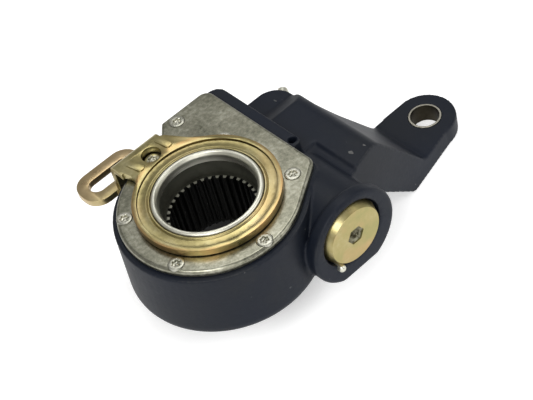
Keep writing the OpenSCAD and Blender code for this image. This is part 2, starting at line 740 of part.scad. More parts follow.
module pinion() {
    thick = PI * module_mm / 2 - rack_play;
    root_r = pinion_r - 1.25 * module_mm;
    color(steel_colour) difference() {
        union() {
            axle(pinion_r + module_mm, pinion_y0, pinion_y1);
            axle(clutch_hub_r, clutch_split + 0.15, pinion_y0 + 1);
        }
        axle(shaft_r + run, 0, body_far_y);
        on_worm_axis() translate([0, pinion_y0 - eps, 0]) rotate([-90, 0, 0])
            for (i = [0:pinion_teeth - 1]) rotate(90 + (360 * i + 180 * (pinion_teeth % 2)) / pinion_teeth)
                linear_extrude(rack_w + 2)
                    polygon(gap_points(pinion_r, pinion_teeth, thick, root_r, pinion_r + module_mm));
    }
}

module pinion_washer() {
    color(steel_colour) turned([[shaft_r + 0.3, pinion_y1 + 0.3], [chamber_fill_r, pinion_y1 + 0.3],
        [chamber_fill_r, chamber_y1], [shaft_r + 0.3, chamber_y1]]);
}

module shaft_seal() {
    color(rubber_colour) turned([[shaft_r + run, body_far_y - seal_w], [shaft_r + 3.4, body_far_y - seal_w],
        [shaft_r + 3.4, body_far_y], [shaft_r + 1.2, body_far_y], [shaft_r + run, body_far_y - 1]]);
}

module rack() {
    pitch = PI * module_mm;
    half = pitch / 4 - rack_play / 2;
    flank = tan(pressure);
    root_half = half + flank * 1.25 * module_mm;
    tip_half = half - flank * module_mm;
    last = floor((rack_len - worm_x - root_half) / pitch);
    color(steel_colour) {
        translate([0, rack_r + rack_w / 2, 0]) rotate([90, 0, 0]) linear_extrude(rack_w) {
            polygon([[-rack_tail, rack_root_z], [rack_len, rack_root_z], [rack_len, rack_top_z],
                [-rack_tail, rack_top_z]]);
            for (i = [-3:last]) translate([worm_x + i * pitch, 0])
                polygon([[-root_half, rack_root_z + 0.1], [-tip_half, rack_tip_z], [tip_half, rack_tip_z],
                    [root_half, rack_root_z + 0.1]]);
        }
        translate([0, rack_r, rack_top_z - 1]) cylinder(r = rack_pin_r, h = disc_t + clear + 1);
    }
}

module rack_spring() {
    radius = (rack_top_z - rack_root_z) / 2 - rack_wire / 2;
    length = -rack_tail - rack_slot_x0 - rack_wire;
    color(dark_steel_colour) translate([rack_slot_x0 + rack_wire / 2, rack_r, (rack_top_z + rack_root_z) / 2])
        rotate([0, 90, 0]) helix(wire(radius, rack_wire / 2, 6), length / 6, 6, 16);
}

module worm_wheel() {
    thick = axial_pitch / 2 - backlash / 2;
    tooth_w = 360 / spline_teeth;
    color(dark_steel_colour) difference() {
        union() {
            translate([0, 0, worm_z - wheel_half]) cylinder(r = wheel_tip_r, h = wheel_face_w);
            translate([0, 0, floor_z]) cylinder(r = hub_r, h = hub_top - floor_z);
        }
        // Gaps between the teeth, leaning with the worm's thread
        for (i = [0:wheel_teeth - 1]) rotate(360 * i / wheel_teeth) translate([0, 0, worm_z])
            rotate([-lead_angle, 0, 0]) translate([0, 0, -wheel_face_w]) linear_extrude(2 * wheel_face_w)
                polygon(gap_points(wheel_pitch_r, wheel_teeth, thick, wheel_root_r, wheel_tip_r));
        // Bore, spline grooves, plain mouth and the seat of the bright rim
        translate([0, 0, floor_z - 1]) cylinder(r = spline_r - spline_depth, h = past);
        for (i = [0:spline_teeth - 1]) rotate(i * tooth_w) translate([0, 0, floor_z - 1]) linear_extrude(past)
            polygon([[spline_r - spline_depth - 1, -1.25], [spline_r, -0.75], [spline_r, 0.75],
                [spline_r - spline_depth - 1, 1.25]]);
        translate([0, 0, -mouth_depth]) cylinder(r = mouth_r, h = past);
        translate([0, 0, floor_z - 1]) cylinder(r = spline_r + 0.4, h = 2.5);
        translate([0, 0, hub_top - rim_seat_depth]) cylinder(r = rim_seat_r, h = past);
        translate([0, 0, seal_groove_z]) upper_groove();
    }
}

// Groove for the seal near the top of the hub
module upper_groove() {
    difference() {
        cylinder(r = hub_r + 2, h = 2.2);
        translate([0, 0, -1]) cylinder(r = hub_r - 1.2, h = 5);
    }
}

module bore_rim() {
    top = hub_top + rim_h;
    color(steel_colour) rotate_extrude() polygon(rounded([[mouth_r, hub_top - rim_seat_depth, 0],
        [rim_seat_r, hub_top - rim_seat_depth, 0], [rim_seat_r, hub_top, 0], [rim_r, hub_top, 0],
        [rim_r, top, 1.2], [rim_seat_r, top, 0.8], [mouth_r, hub_top - 0.5, 0]]));
}

module upper_wheel_seal() {
    color(rubber_colour) translate([0, 0, seal_groove_z + 1.1]) rotate_extrude()
        translate([hub_r - 0.6, 0]) circle(0.58);
}

module lower_wheel_seal() {
    color(rubber_colour) translate([0, 0, floor_z]) rotate_extrude()
        polygon([[hub_r + run, 0.3], [hub_r + lower_seal_w, 0], [hub_r + lower_seal_w, lower_seal_h],
            [hub_r + run, lower_seal_h]]);
}

// Flat outline of the control arm's ring and ear
module control_outline() {
    circle(control_r);
    polygon(rounded([[-control_r * 0.84, control_r * 0.5, 0], [ear_x0 + 3.5, control_r - 2, 8],
        [ear_x0, ear_y - 7, 3], [ear_x0, ear_y - 5, 0], [ear_x1, ear_y - 5, 0],
        [ear_x1 + ear_flare, ear_y - 6.5, 1],
        [ear_x1 + ear_flare + 6.2, control_r - 2.4, 25], [control_r * 0.78, control_r * 0.62, 0],
        [0, 0, 0]]));
}

// Side view of the bent strip from the ear, down the flange and out along the tab, as [y, z]
module control_bend() {
    in_r = 1.2;
    out_r = control_t + in_r;
    polygon(rounded([[ear_y - 10, control_top, 0], [ear_y, control_top, out_r], [ear_y, -tab_drop, in_r],
        [tab_y - slot_w / 2 - 2, -tab_drop, 0], [tab_y - slot_w / 2 - 2, -tab_drop - control_t, 0],
        [ear_y - control_t, -tab_drop - control_t, out_r], [ear_y - control_t, control_gap, in_r],
        [ear_y - 10, control_gap, 0]]));
}

// Top view of the tab with its anchor slot
module control_tab() {
    end_r = tab_w * 0.42;
    x = [tab_x - tab_len / 2, tab_x + tab_len / 2];
    y = [tab_y - tab_w / 2, tab_y + tab_w / 2];
    difference() {
        polygon(rounded([[x[0], y[0], end_r], [x[1], y[0], end_r], [x[1], y[1], end_r],
            [x[0], y[1], end_r]]));
        translate([tab_x, tab_y]) {
            square([slot_len - slot_w, slot_w], center = true);
            for (s = [-1, 1]) translate([s * (slot_len - slot_w) / 2, 0]) circle(slot_w / 2);
        }
    }
}

module control_arm() {
    pad_h = 0.7;
    color(gold_colour) difference() {
        union() {
            translate([0, 0, control_gap]) linear_extrude(control_t) control_outline();
            translate([ear_x0, 0, 0]) rotate([90, 0, 90]) linear_extrude(ear_w) control_bend();
            translate([0, 0, -tab_drop - control_t]) linear_extrude(control_t) control_tab();
            // Raised pads beside the hole
            for (pad = [[ear_x0 + 7.2, ear_y - 11, 13], [ear_x1 - 1.6, ear_y - 9.7, 8]])
                translate([pad[0], pad[1], control_top - 1]) rotate(pad[2]) linear_extrude(1 + pad_h)
                    polygon(rounded([[-2, -4.7, 1.7], [2, -4.7, 1.7], [2, 4.7, 1.7], [-2, 4.7, 1.7]]));
        }
        translate([0, 0, -20]) cylinder(r = ring_in_r, h = 60);
        translate([-1.5, ear_y - 11, -5]) cylinder(r = ear_hole_r, h = 20);
    }
}

module control_hub() {
    bore = hub_r + run;
    room = rim_r + clear;
    dish_r = control_hub_r - 0.6;
    lip_r = room + 1.6;
    lip_top = control_top - 0.6;
    color(gold_colour) rotate_extrude() polygon([[bore, disc_z], [spigot_r, disc_z],
        [spigot_r, disc_z + disc_t], [control_hub_r, disc_z + disc_t], [control_hub_r, control_gap],
        [ring_in_r, control_gap], [ring_in_r, lip_top - 0.3], [dish_r, lip_top - 0.6],
        [lip_r, lip_top - 0.3], [lip_r - 0.5, lip_top - 0.7], [lip_r - 0.9, lip_top],
        [room, lip_top], [room, hub_wall_top], [bore, hub_wall_top]]);
}

module control_disc() {
    notch_half = rack_pin_r + clear;
    color(steel_colour) difference() {
        union() {
            translate([0, 0, disc_z]) cylinder(r = disc_r, h = disc_t);
            intersection() {
                translate([0, 0, disc_z]) cylinder(r = control_r, h = disc_t);
                translate([-lobe_half, 0, disc_z]) cube([2 * lobe_half, 60, disc_t]);
            }
        }
        translate([0, 0, disc_z - 1]) cylinder(r = spigot_r, h = 10);
        translate([-notch_half, rack_r - rack_pin_r - clear, disc_z - 1]) cube([2 * notch_half, 20, 10]);
    }
}

housing();
clevis_bush();
grease_nipple();
nipple_ball();
cover_plate();
cover_gasket();
cover_screws();
end_cap();
cap_o_ring();
lock_pin();
strong_spring();
spring_seat();
thrust_bearing();
worm_shaft();
clutch_wheel();
clutch_spring();
pinion();
pinion_washer();
shaft_seal();
rack();
rack_spring();
worm_wheel();
bore_rim();
upper_wheel_seal();
lower_wheel_seal();
control_arm();
control_hub();
control_disc();
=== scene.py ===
"""Slack adjuster for a cam brake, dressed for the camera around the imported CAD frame."""

import json
import math

import bmesh
import bpy
import numpy as np
from mathutils import Matrix, Vector


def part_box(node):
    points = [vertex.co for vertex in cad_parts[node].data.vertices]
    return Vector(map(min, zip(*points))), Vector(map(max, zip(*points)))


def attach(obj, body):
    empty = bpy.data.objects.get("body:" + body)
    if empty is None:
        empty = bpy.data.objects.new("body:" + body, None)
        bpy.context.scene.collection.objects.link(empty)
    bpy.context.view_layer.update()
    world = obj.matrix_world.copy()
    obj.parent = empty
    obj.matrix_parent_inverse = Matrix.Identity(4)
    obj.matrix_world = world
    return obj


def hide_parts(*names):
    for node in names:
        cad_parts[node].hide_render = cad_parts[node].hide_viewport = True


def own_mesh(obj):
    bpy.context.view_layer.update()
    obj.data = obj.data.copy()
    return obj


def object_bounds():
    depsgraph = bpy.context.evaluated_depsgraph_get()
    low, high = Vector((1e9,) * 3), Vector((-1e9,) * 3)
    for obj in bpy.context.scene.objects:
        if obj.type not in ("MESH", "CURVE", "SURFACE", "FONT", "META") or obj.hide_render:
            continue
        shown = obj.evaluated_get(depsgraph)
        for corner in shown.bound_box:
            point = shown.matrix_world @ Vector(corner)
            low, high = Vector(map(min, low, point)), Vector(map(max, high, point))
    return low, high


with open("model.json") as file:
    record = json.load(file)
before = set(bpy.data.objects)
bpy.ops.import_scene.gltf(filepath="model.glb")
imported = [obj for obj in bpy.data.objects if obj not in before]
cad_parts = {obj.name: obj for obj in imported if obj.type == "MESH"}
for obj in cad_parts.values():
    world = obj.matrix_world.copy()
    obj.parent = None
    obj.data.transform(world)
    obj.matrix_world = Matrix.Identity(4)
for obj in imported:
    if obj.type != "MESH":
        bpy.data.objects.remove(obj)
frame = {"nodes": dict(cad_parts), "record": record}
NODES = frame["nodes"]
RECORD = frame["record"]
MM = 0.001
cad_low, cad_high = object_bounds()

BODY_OF = {node: body for body, nodes in RECORD["behaviour"]["bodies"].items() for node in nodes}


# Mesh helpers

# Points of a CAD mesh nearer than this are one point, and faces that meet flatter than this are one face
WELD = 0.002 * MM
FLAT = math.radians(0.4)
# Edges sharper than the first of these are broken, and edges sharper than the second shade as a crease
BROKEN_DEG = 38
CREASE_DEG = 32
# Sides of a round cutting tool
ROUND_SIDES = 96


def merged(node):
    """A CAD node's triangles as one joined bmesh."""
    bm = bmesh.new()
    bm.from_mesh(NODES[node].data)
    bmesh.ops.remove_doubles(bm, verts=bm.verts, dist=WELD)
    return bm


def kept(bm, name):
    """A new mesh from a bmesh, which is freed."""
    mesh = bpy.data.meshes.new(name)
    bm.to_mesh(mesh)
    bm.free()
    return mesh


def joined_skin(node, name):
    """A copy of a CAD node as one joined skin, its flat faces made whole."""
    bm = merged(node)
    bmesh.ops.dissolve_limit(bm, angle_limit=FLAT, verts=bm.verts, edges=bm.edges)
    return kept(bm, name)


def placed(name, mesh):
    """A new object at the origin that holds the mesh."""
    obj = bpy.data.objects.new(name, mesh)
    bpy.context.scene.collection.objects.link(obj)
    return obj


def settle(obj):
    """Turns an object's modifiers into its plain mesh."""
    graph = bpy.context.evaluated_depsgraph_get()
    mesh = bpy.data.meshes.new_from_object(obj.evaluated_get(graph))
    obj.modifiers.clear()
    obj.data = mesh


def shade(obj, sharp_deg=CREASE_DEG):
    """Smooth shading, with a crease where faces meet at more than sharp_deg."""
    mesh = obj.data
    mesh.polygons.foreach_set("use_smooth", np.ones(len(mesh.polygons), dtype=bool))
    mesh.set_sharp_from_angle(angle=math.radians(sharp_deg))


def level_faces(obj):
    """Keeps wide flat faces level in shading, and leaves the bend to the narrow ones."""
    level = obj.modifiers.new("level faces", "WEIGHTED_NORMAL")
    level.keep_sharp = True
    settle(obj)


def cut_by(obj, tool, operation):
    """Cuts an object with a tool, which is then thrown away."""
    cut = obj.modifiers.new("cut", "BOOLEAN")
    cut.operation = operation
    cut.solver = "MANIFOLD"
    cut.object = tool
    settle(obj)
    bpy.data.objects.remove(tool)


def closed_loft(loops, name):
    """A closed mesh through loops of points that follow each other, with a flat face at both ends."""
    bm = bmesh.new()
    rows = [[bm.verts.new(point) for point in loop] for loop in loops]
    for lower, upper in zip(rows, rows[1:]):
        for i in range(len(lower)):
            bm.faces.new((lower[i - 1], lower[i], upper[i], upper[i - 1]))
    bm.faces.new(rows[0])
    bm.faces.new(rows[-1])
    bmesh.ops.recalc_face_normals(bm, faces=bm.faces)
    return kept(bm, name)


def stand_for(obj, node):
    """The object takes a CAD node's place and body."""
    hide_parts(node)
    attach(obj, BODY_OF[node])


def wear(obj, finish):
    """Gives an object one finish all over."""
    obj.data.materials.clear()
    obj.data.materials.append(finish.material)


def finished(node, finish, edge, segments=2, pressed=False, mesh=None):
    """A CAD node again, or the mesh given for it, with its edges broken to a small radius.

    Pressed sheet shades softly all over, and the rest keeps its wide faces level.
    """
    obj = placed(node + "_finished", mesh or joined_skin(node, node + "_finished"))
    if edge > 0:
        bevel = obj.modifiers.new("broken edges", "BEVEL")
        bevel.width = edge
        bevel.segments = segments
        bevel.limit_method = "ANGLE"
        bevel.angle_limit = math.radians(BROKEN_DEG)
        bevel.use_clamp_overlap = True
        settle(obj)
    shade(obj)
    if not pressed:
        level_faces(obj)
    wear(obj, finish)
    stand_for(obj, node)


def middle(node):
    """Middle of a node's box."""
    low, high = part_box(node)
    return (Vector(low) + Vector(high)) / 2


# Node helpers

# Width of a blotch in noise of scale 1
BLOTCH = 0.6


class Field:
    """A socket in a node tree; numbers and other fields combine with it by plain operators."""

    def __init__(self, nodes, socket):
        self.nodes = nodes
        self.socket = socket

    def _maths(self, operation, a, b):
        return self.nodes.make("ShaderNodeMath", {"operation": operation}, {0: a, 1: b})

    def __add__(self, other):
        return self._maths("ADD", self, other)

    def __radd__(self, other):
        return self._maths("ADD", other, self)

    def __sub__(self, other):
        return self._maths("SUBTRACT", self, other)

    def __rsub__(self, other):
        return self._maths("SUBTRACT", other, self)

    def __mul__(self, other):
        return self._maths("MULTIPLY", self, other)

    def __rmul__(self, other):
        return self._maths("MULTIPLY", other, self)

    def __abs__(self):
        return self._maths("ABSOLUTE", self, 0.0)


class Nodes:
    """A node tree, the node that it ends in, and the one way in which its other nodes are made."""

    def __init__(self, tree, end):
        self.tree = tree
        self.end = end

    def make(self, kind, settings, sockets, out=0):
        """One node of a kind, its settings first, then its sockets' values or links."""
        node = self.tree.nodes.new(kind)
        for name, value in settings.items():
            if name == "stops":
                self.set_stops(node.color_ramp, value)
            else:
                setattr(node, name, value)
        for key, value in sockets.items():
            if isinstance(value, Field):
                self.tree.links.new(value.socket, node.inputs[key])
            else:
                node.inputs[key].default_value = value
        return Field(self, node.outputs[out])

    @staticmethod
    def set_stops(ramp, stops):
        """Gives a colour ramp its stops, each a place and a colour."""
        while len(ramp.elements) < len(stops):
            ramp.elements.new(0.5)
        for element, (place, colour) in zip(ramp.elements, stops):
            element.position = place
            element.color = (*colour, 1)

    def feed(self, socket, field):
        """Links a field to one of the inputs of the last node."""
        self.tree.links.new(field.socket, self.end.inputs[socket])

    def steps(self, field, *stops):
        """A colour ramp over a field; stops are (place, colour)."""
        return self.make("ShaderNodeValToRGB", {"stops": stops}, {"Fac": field}, "Color")

    def ray(self, kind):
        """1 for rays of one kind and 0 for the rest."""
        return self.make("ShaderNodeLightPath", {}, {}, kind)


class Finish(Nodes):
    """One material: a Principled shader and the nodes that feed it."""

    def __init__(self, name, **constants):
        self.material = bpy.data.materials.new(name)
        self.material.use_nodes = True
        tree = self.material.node_tree
        super().__init__(tree, tree.nodes["Principled BSDF"])
        for socket, value in constants.items():
            self.end.inputs[socket.replace("_", " ")].default_value = value

    def place(self):
        """Object coordinates, in metres."""
        return self.make("ShaderNodeTexCoord", {}, {}, "Object")

    def stretched(self, scale, turn=(0, 0, 0)):
        """Object coordinates, stretched and turned."""
        sockets = {"Vector": self.place(), "Scale": scale, "Rotation": turn}
        return self.make("ShaderNodeMapping", {}, sockets)

    def grain(self, size, detail=3.0, rough=0.55, where=None):
        """Noise from 0 to 1, with blotches about size metres across."""
        where = where or self.place()
        sockets = {"Vector": where, "Scale": BLOTCH / size, "Detail": detail, "Roughness": rough}
        return self.make("ShaderNodeTexNoise", {}, sockets, "Fac")

    def rise(self, field, low, high):
        """A field taken from low..high to 0..1, held at the ends."""
        span = {"Value": field, "From Min": low, "From Max": high}
        return self.make("ShaderNodeMapRange", {"clamp": True}, span, "Result")

    def blend(self, factor, a, b):
        """Colour a where factor is 0 and b where it is 1."""
        colours = [c if isinstance(c, Field) else (*c, 1) for c in (a, b)]
        sockets = {"Factor": factor, 6: colours[0], 7: colours[1]}
        return self.make("ShaderNodeMix", {"data_type": "RGBA"}, sockets, 2)

    def axis(self, name):
        """One Object coordinate, X, Y or Z, in metres."""
        return self.make("ShaderNodeSeparateXYZ", {}, {"Vector": self.place()}, name)

    def away(self, centre, flat=(1, 1, 0)):
        """Distance from a centre, in metres, along the axes that flat leaves in."""
        offset = self.make("ShaderNodeVectorMath", {"operation": "SUBTRACT"}, {0: self.place(), 1: centre})
        kept_axes = self.make("ShaderNodeVectorMath", {"operation": "MULTIPLY"}, {0: offset, 1: flat})
        return self.make("ShaderNodeVectorMath", {"operation": "LENGTH"}, {0: kept_axes}, "Value")

    def rough_skin(self, height, depth, strength=1.0):
        """Bumps the surface by a height field, depth metres deep."""
        sockets = {"Height": height, "Distance": depth, "Strength": strength}
        self.feed("Normal", self.make("ShaderNodeBump", {}, sockets, "Normal"))


# Finishes

# Where the spline's teeth begin below the cover plate's face, and the radius over their roots
MOUTH_DEPTH = 9 * MM
SPLINE_R = 20.8 * MM
# How far outside the ring of the control arm its tab's lighter, rosier tone begins, partly its own tint
# and partly painted light, and where it is full
TAB_FROM = 12 * MM
TAB_FULL = 24 * MM
# Radii of the hub, the bore's rim and the arm's ring, and the end cap's front face
HUB_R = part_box("control_hub")[1][0]
RIM_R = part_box("bore_rim")[1][0]
RING_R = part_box("control_arm")[1][0]
CAP_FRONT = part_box("end_cap")[0][1]


def cast_paint():
    """Dark blue-grey paint on a rough casting, dusty, chipped and rubbed bare at its edges, with a painted
    highlight lightening every edge.
    """
    f = Finish("cast paint", Metallic=0.0, Specular_IOR_Level=0.22)
    broad = f.grain(38 * MM, 2.0)
    patch = f.grain(9 * MM, 4.0, 0.6)
    sand = f.grain(1.1 * MM, 3.0, 0.65)
    chip = f.grain(2.2 * MM, 2.0, 0.5, f.stretched((1, 0.45, 1), (0, 0, math.radians(35))))
    edge = f.make("ShaderNodeAttribute", {"attribute_name": "worn_edge"}, {}, "Fac")
    navy = f.steps(broad, (0.35, (0.0045, 0.0080, 0.0175)), (0.62, (0.0080, 0.0105, 0.0165)))
    dusty = f.blend(f.rise(patch, 0.52, 0.8) * 0.25, navy, (0.030, 0.032, 0.031))
    rubbed = f.rise(edge, 0.2, 0.9) * f.rise(patch + sand, 0.92, 1.2)
    scuffed = f.rise(chip, 0.735, 0.76) * f.rise(patch, 0.45, 0.6)
    # Painted highlight: all edges are lighter in colour, as if lit, besides the patchy bare wear
    edge_highlit = f.blend(f.rise(edge, 0.25, 1.0) * 0.35, dusty, (0.060, 0.058, 0.052))
    bare = f.blend(rubbed * 0.5, edge_highlit, (0.10, 0.098, 0.088))
    f.feed("Base Color", f.blend(scuffed * 0.6, bare, (0.22, 0.22, 0.21)))
    f.feed("Roughness", 0.36 + 0.16 * patch + 0.1 * sand)
    f.rough_skin(sand * 0.5 + patch, 0.2 * MM, 0.5)
    return f


def dull_zinc():
    """Grey-green zinc, finely mottled, with a few rubbed lines and pits."""
    f = Finish("dull zinc", Metallic=1.0)
    cloud = f.grain(12 * MM, 5.0, 0.68)
    speck = f.grain(1.2 * MM, 4.0, 0.7)
    lines = f.grain(0.8 * MM, 2.0, 0.5, f.stretched((0.08, 1, 1), (0, 0, math.radians(-32))))
    pits = f.rise(f.grain(2.0 * MM, 2.0), 0.70, 0.76)
    tone = cloud * 0.45 + speck * 0.47 + lines * 0.08
    clean = f.steps(tone, (0.36, (0.150, 0.150, 0.110)), (0.5, (0.29, 0.285, 0.220)),
                    (0.64, (0.49, 0.48, 0.39)))
    f.feed("Base Color", f.blend(pits * 0.45, clean, (0.10, 0.10, 0.08)))
    f.feed("Roughness", 0.20 + 0.12 * cloud + 0.08 * speck)
    f.rough_skin(speck * 0.7 + lines * 0.3, 0.06 * MM, 0.5)
    return f


def screw_zinc():
    """Brighter zinc on the screws, a little blotched."""
    f = Finish("screw zinc", Metallic=1.0)
    cloud = f.grain(3 * MM, 4.0, 0.6)
    f.feed("Base Color", f.steps(cloud, (0.32, (0.30, 0.30, 0.24)), (0.6, (0.56, 0.55, 0.47))))
    f.feed("Roughness", 0.26 + 0.16 * cloud)
    f.rough_skin(f.grain(0.6 * MM, 3.0), 0.03 * MM, 0.4)
    return f


def gold_zinc(name, straw, olive, pale, rose, roughness, patch, painted_shade_crevices=(), rubbed=0, pocket=None):
    """Yellow passivated zinc that drifts from straw to olive and rose, with painted shade in its crevices:
    a dark brown ring of colour along each.

    It is brown at a rubbed edge and, on the tab beyond it, lighter and rosier, partly a tint of its own
    and partly painted light; a pocket sunk in its face is dull with grease.
    """
    f = Finish(name, Metallic=1.0)
    cloud = f.grain(9 * MM, 4.0, 0.62)
    drift = f.grain(patch, 2.0)
    speck = f.grain(0.9 * MM, 3.0)
    tone = f.steps(cloud * 0.8 + speck * 0.2, (0.33, olive), (0.5, straw), (0.68, pale))
    colour = f.blend(f.rise(drift, 0.5, 0.7) * 0.55, tone, rose)
    # Painted shade: a dark brown ring of colour along each crevice, where shade falls between parts
    for radius, width in painted_shade_crevices:
        gap = abs(f.away((0, 0, 0)) - radius)
        colour = f.blend(1 - f.rise(gap, 0.25 * width, width), colour, (0.12, 0.09, 0.04))
    if rubbed:
        at_edge = 1 - f.rise(abs(f.away((0, 0, 0)) - rubbed), 0.4 * MM, 1.4 * MM)
        colour = f.blend(at_edge * f.rise(cloud, 0.35, 0.6) * 0.8, colour, (0.46, 0.27, 0.11))
        # The tab beyond the ring is lighter and rosier: partly its own tint, partly painted light
        tab_tint_and_light = f.rise(f.axis("Y"), rubbed + TAB_FROM, rubbed + TAB_FULL)
        colour = f.blend(tab_tint_and_light * 0.75, colour, f.blend(cloud, rose, (0.78, 0.62, 0.40)))
    if pocket:
        centre, radius, front = pocket
        within = 1 - f.rise(f.away(centre, (1, 0, 1)), radius, radius + 0.1 * MM)
        clots = speck * 0.5 + f.grain(2 * MM) * 0.5
        dirt = f.steps(clots, (0.42, (0.10, 0.09, 0.055)), (0.55, (0.55, 0.53, 0.40)))
        inside = within * f.rise(f.axis("Y"), front + 0.4 * MM, front + 1 * MM)
        colour = f.blend(inside, colour, dirt)
        f.feed("Metallic", 1 - inside)
    f.feed("Base Color", colour)
    f.feed("Roughness", roughness + 0.14 * cloud + 0.06 * speck)
    f.rough_skin(speck * 0.3 + cloud, 0.03 * MM, 0.25)
    return f


def bright_steel():
    """Turned steel with a little tarnish."""
    f = Finish("bright steel", Metallic=1.0)
    cloud = f.grain(8 * MM, 3.0)
    f.feed("Base Color", f.steps(cloud, (0.3, (0.58, 0.57, 0.48)), (0.65, (0.78, 0.77, 0.66))))
    f.feed("Roughness", 0.30 + 0.16 * cloud)
    f.rough_skin(f.grain(0.5 * MM, 2.0), 0.02 * MM, 0.3)
    return f


def bush_steel():
    """Steel bush with a bright rim on its end face, and painted shade that makes its bore and the rest of
    its face dark.
    """
    f = Finish("bush steel", Metallic=1.0)
    cloud = f.grain(4 * MM, 3.0)
    axis = middle("clevis_bush")
    low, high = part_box("clevis_bush")
    wall = (high[0] - low[0]) / 2
    face = f.rise(f.away(axis), wall - 1.0 * MM, wall - 0.75 * MM)
    # Painted shade: the bush is dark in colour everywhere more than a millimetre inside its outer radius
    painted_bush_bore_shade = f.steps(cloud, (0.3, (0.035, 0.030, 0.020)), (0.7, (0.075, 0.065, 0.045)))
    f.feed("Base Color", f.blend(face, painted_bush_bore_shade, (0.42, 0.40, 0.34)))
    f.feed("Roughness", 0.34 + 0.18 * cloud)
    return f


def spline_steel():
    """Oiled steel, grey in the plain mouth of the bore, with painted shade that makes it almost black
    between the teeth further down, and painted highlights on the teeth's top ends.
    """
    f = Finish("spline steel", Metallic=0.6, Specular_IOR_Level=0.15)
    cloud = f.grain(6 * MM, 3.0)
    # Painted shade: below the plain mouth the colour turns almost black
    mouth = f.rise(f.axis("Z"), -MOUTH_DEPTH - 0.6 * MM, 0.2 * MM - MOUTH_DEPTH)
    teeth_in_painted_shade = f.steps(cloud, (0.3, (0.002, 0.002, 0.0015)), (0.7, (0.006, 0.006, 0.005)))
    plain = f.steps(cloud, (0.3, (0.050, 0.050, 0.038)), (0.7, (0.085, 0.085, 0.066)))
    # Painted highlight: a light ring of colour on the top ends of the teeth
    painted_tooth_top_highlight = 1 - f.rise(abs(f.axis("Z") + MOUTH_DEPTH), 0.1 * MM, 0.5 * MM)
    inside = 1 - f.rise(f.away((0, 0, 0)), SPLINE_R - 0.6 * MM, SPLINE_R - 0.1 * MM)
    f.feed("Base Color", f.blend(painted_tooth_top_highlight * inside, f.blend(mouth, teeth_in_painted_shade, plain), (0.34, 0.34, 0.28)))
    f.feed("Roughness", 0.36 + 0.2 * cloud)
    return f


def dark_steel():
    """Oiled, almost black steel."""
    f = Finish("dark steel", Metallic=0.7)
    cloud = f.grain(6 * MM, 3.0)
    f.feed("Base Color", f.steps(cloud, (0.3, (0.012, 0.012, 0.010)), (0.7, (0.035, 0.034, 0.029))))
    f.feed("Roughness", 0.32 + 0.2 * cloud)
    return f


def black_rubber():
    """Matt black rubber with a faint bloom."""
    f = Finish("black rubber", Metallic=0.0)
    bloom = f.grain(2 * MM, 3.0)
    f.feed("Base Color", f.steps(bloom, (0.3, (0.012, 0.012, 0.012)), (0.7, (0.026, 0.026, 0.025))))
    f.feed("Roughness", 0.55 + 0.25 * bloom)
    return f


paint = cast_paint()
zinc = dull_zinc()
screw_finish = screw_zinc()
gold = gold_zinc(
    "gold zinc", straw=(0.42, 0.36, 0.165), olive=(0.26, 0.22, 0.095), pale=(0.58, 0.52, 0.29),
    rose=(0.50, 0.34, 0.165), roughness=0.2, patch=24 * MM,
    painted_shade_crevices=((HUB_R, 0.2 * MM), (RIM_R + 0.2 * MM, 0.3 * MM)), rubbed=RING_R)
cap_gold = gold_zinc(
    "cap gold zinc", straw=(0.45, 0.38, 0.165), olive=(0.37, 0.345, 0.14), pale=(0.54, 0.48, 0.27),
    rose=(0.58, 0.38, 0.19), roughness=0.24, patch=8 * MM,
    pocket=(middle("end_cap"), 5 * MM, CAP_FRONT))
steel = bright_steel()
bush = bush_steel()
spline = spline_steel()
oiled = dark_steel()
rubber = black_rubber()


# Casting

# Size of the skin's voxels, passes of smoothing and the pull of each pass, and the most triangles left
CAST_VOXEL = 0.6 * MM
CAST_SMOOTHING = 9
CAST_SOFTNESS = 0.5
CAST_TRIANGLES = 190000
CAST_CREASE_DEG = 50
# An edge that the smoothing sinks this far is wholly worn, and wholly under the paint's painted edge
# highlight
EDGE_MARK_SINK = 0.4 * MM
# Radii of the machined mouths, which stay crisp, and how far below the gasket the vent's and cover's go
CAP_MOUTH_R = 18.6 * MM
EYE_MOUTH_R = 10 * MM
VENT_MOUTH_R = 3 * MM
COVER_MOUTH_R = 37 * MM
BORE_MOUTH_R = 28 * MM
MOUTH_REACH = 12 * MM
VENT_AT = Vector((47.4, -1.5)) * MM
# The recess around the end cap: its wall's radius and depth, and how far the wall is drawn in
RECESS_R = 17.8 * MM
RECESS_DEPTH = 6 * MM
RECESS_DRAW = 1.4 * MM
# The draw begins this far inside the wall, and ends this far outside it after fading out
RECESS_INNER = 0.8 * MM
RECESS_OUTER = 1.7 * MM
RECESS_FADE = 1.5 * MM


def machined(points):
    """For each point, 0 on the machined mouths of the casting and 1 on its cast skin."""
    cap_axis = middle("end_cap")
    cap_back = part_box("end_cap")[1][1]
    eye_axis = middle("clevis_bush")
    gasket_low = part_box("cover_gasket")[0][2]
    from_cap = np.hypot(points[:, 0] - cap_axis.x, points[:, 2] - cap_axis.z)
    from_eye = np.hypot(points[:, 0] - eye_axis.x, points[:, 1] - eye_axis.y)
    from_vent = np.hypot(points[:, 0] - VENT_AT.x, points[:, 1] - VENT_AT.y)
    from_bore = np.hypot(points[:, 0], points[:, 1])
    cast = np.ones(len(points))
    cast[(from_cap < CAP_MOUTH_R) & (points[:, 1] < cap_back)] = 0
    cast[from_eye < EYE_MOUTH_R] = 0
    cast[(from_vent < VENT_MOUTH_R) & (points[:, 2] > gasket_low - MOUTH_REACH)] = 0
    cast[(from_bore < COVER_MOUTH_R) & (points[:, 2] > gasket_low - MOUTH_REACH)] = 0
    cast[from_bore < BORE_MOUTH_R] = 0
    return cast


def mesh_points(mesh):
    """Vertex places of a mesh as rows."""
    points = np.empty(len(mesh.vertices) * 3)
    mesh.vertices.foreach_get("co", points)
    return points.reshape(-1, 3)


